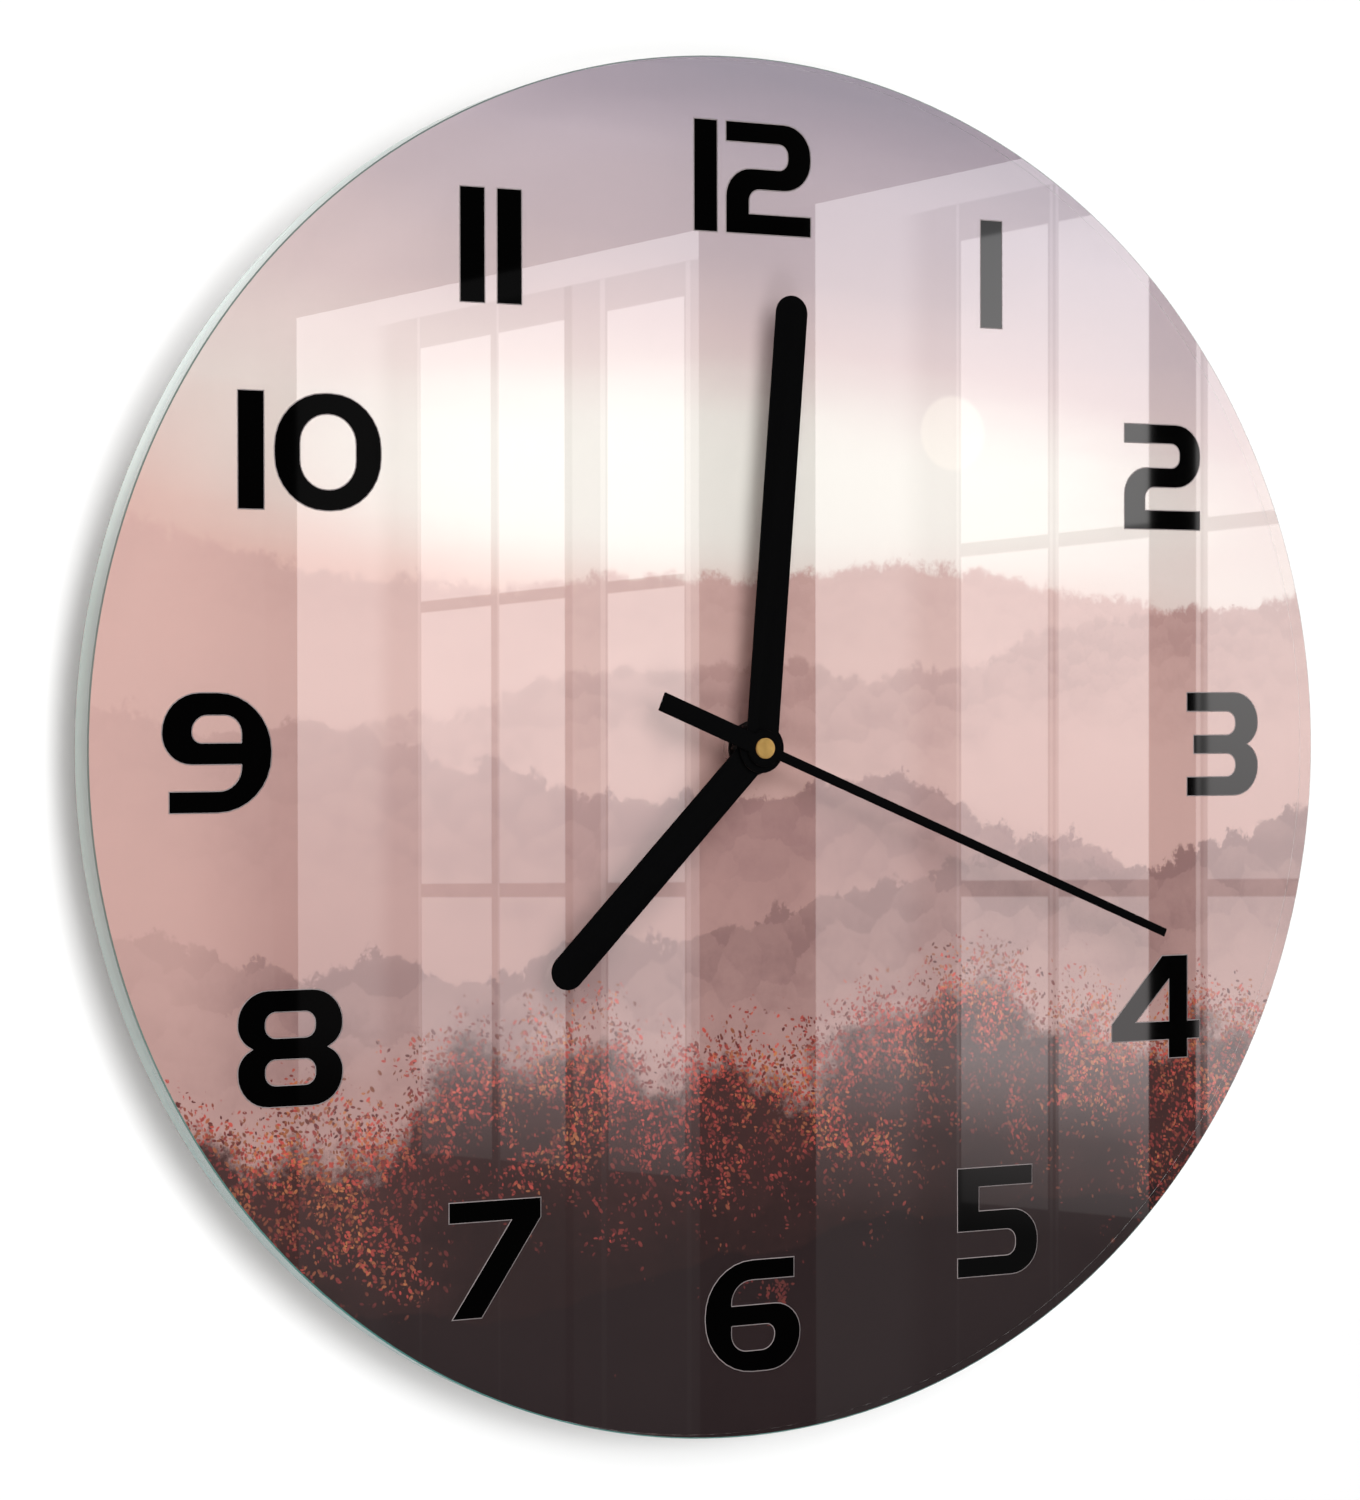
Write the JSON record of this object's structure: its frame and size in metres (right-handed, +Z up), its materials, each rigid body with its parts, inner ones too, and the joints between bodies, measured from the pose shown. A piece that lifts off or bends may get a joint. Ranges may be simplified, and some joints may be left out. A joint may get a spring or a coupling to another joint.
{
  "type": "wall clock",
  "caption": "Round printed-glass wall clock on a geared quartz movement, with bar hands, a setting knob at the back, a keyhole hanger and rubber spacer pads.",
  "frame": {"origin": "on the wall at the nail that the hanger's keyhole hangs on, above the hand shaft", "axes": "+Z up, +X to the right seen from the front, +Y into the wall; the dial looks along -Y and the hand shaft lies along Y"},
  "size_m": [0.3, 0.034, 0.3],
  "materials": {
    "clear_glass": "polished clear toughened float glass, green-blue at the edge",
    "dial_print": "ink and white backing on the back of the glass, misty hills in rose and brown with black numerals",
    "rubber": "matt black",
    "foam_tape": "white double-sided foam tape",
    "zinc_steel": "zinc-plated sheet",
    "black_brass": "blackened",
    "brass": "turned",
    "case_plastic": "black moulded, fine spark texture",
    "wheel_plastic": "natural white acetal",
    "core_steel": "soft iron lamination",
    "copper_wire": "enamelled copper wire",
    "battery_sleeve": "plain printed sleeve with bare ends",
    "nickel_strip": "nickel-plated strip",
    "board": "brown paper laminate",
    "chip_resin": "black potting resin",
    "magnet": "sintered magnet",
    "black_hand": "satin black paint on aluminium sheet"
  },
  "bodies": {
    "clock": {"glass_disc": "clear_glass", "dial_print": "dial_print", "spacer_pad_left": "rubber", "spacer_pad_right": "rubber", "pad_tape_left": "foam_tape", "pad_tape_right": "foam_tape", "hanger_bracket": "zinc_steel", "sealing_washer": "rubber", "dial_washer": "black_brass", "hex_nut": "black_brass", "threaded_bush": "brass", "movement_front_case": "case_plastic", "movement_rear_cover": "case_plastic", "middle_plate": "wheel_plastic", "stator": "core_steel", "coil_core": "core_steel", "coil_bobbin": "wheel_plastic", "coil_winding": "copper_wire", "battery_cell": "battery_sleeve", "positive_contact": "nickel_strip", "negative_contact": "nickel_strip", "circuit_board": "board", "control_chip": "chip_resin", "quartz_crystal": "nickel_strip"},
    "second_arbor": {"second_wheel": "wheel_plastic", "second_hand": "black_hand", "second_hand_collet": "brass"},
    "rotor": {"rotor_pinion": "wheel_plastic", "rotor_magnet": "magnet"},
    "fifth": {"fifth_wheel": "wheel_plastic"},
    "third": {"third_wheel": "wheel_plastic"},
    "centre": {"centre_wheel": "wheel_plastic"},
    "minute_hand_arbor": {"minute_arbor": "brass", "clutch_spring": "nickel_strip", "minute_hand": "black_hand"},
    "minute_wheel_and_knob": {"minute_wheel": "wheel_plastic", "setting_knob": "case_plastic"},
    "hour_wheel_and_hand": {"hour_wheel": "wheel_plastic", "hour_hand": "black_hand"}
  },
  "joints": [
    {"name": "second_hand_turn", "type": "hinge", "parent": "clock", "child": "second_arbor", "pos_m": [0, -0.0076, -0.04136], "axis": [0, 1, 0], "continuous": true},
    {"name": "rotor_turn", "type": "hinge", "parent": "clock", "child": "rotor", "pos_m": [0.00928, -0.0081, -0.03115], "axis": [0, 1, 0], "continuous": true},
    {"name": "fifth_wheel_turn", "type": "hinge", "parent": "clock", "child": "fifth", "pos_m": [0.0036, -0.0067, -0.03513], "axis": [0, 1, 0], "continuous": true},
    {"name": "third_wheel_turn", "type": "hinge", "parent": "clock", "child": "third", "pos_m": [-0.00835, -0.009, -0.03551], "axis": [0, 1, 0], "continuous": true},
    {"name": "centre_wheel_turn", "type": "hinge", "parent": "clock", "child": "centre", "pos_m": [0, -0.0116, -0.04136], "axis": [0, 1, 0], "continuous": true},
    {"name": "minute_hand_turn", "type": "hinge", "parent": "clock", "child": "minute_hand_arbor", "pos_m": [0, -0.013, -0.04136], "axis": [0, 1, 0], "continuous": true},
    {"name": "setting_knob_turn", "type": "hinge", "parent": "clock", "child": "minute_wheel_and_knob", "pos_m": [0.01043, -0.008, -0.04227], "axis": [0, 1, 0], "continuous": true},
    {"name": "hour_hand_turn", "type": "hinge", "parent": "clock", "child": "hour_wheel_and_hand", "pos_m": [0, -0.014, -0.04136], "axis": [0, 1, 0], "continuous": true}
  ],
  "couplings": [
    {"joint": "rotor_turn", "follows": "second_hand_turn", "ratio": 30},
    {"joint": "fifth_wheel_turn", "follows": "second_hand_turn", "ratio": -5},
    {"joint": "third_wheel_turn", "follows": "second_hand_turn", "ratio": -0.13333},
    {"joint": "centre_wheel_turn", "follows": "second_hand_turn", "ratio": 0.016667},
    {"joint": "setting_knob_turn", "follows": "minute_hand_turn", "ratio": -0.33333},
    {"joint": "hour_hand_turn", "follows": "minute_hand_turn", "ratio": 0.083333}
  ]
}
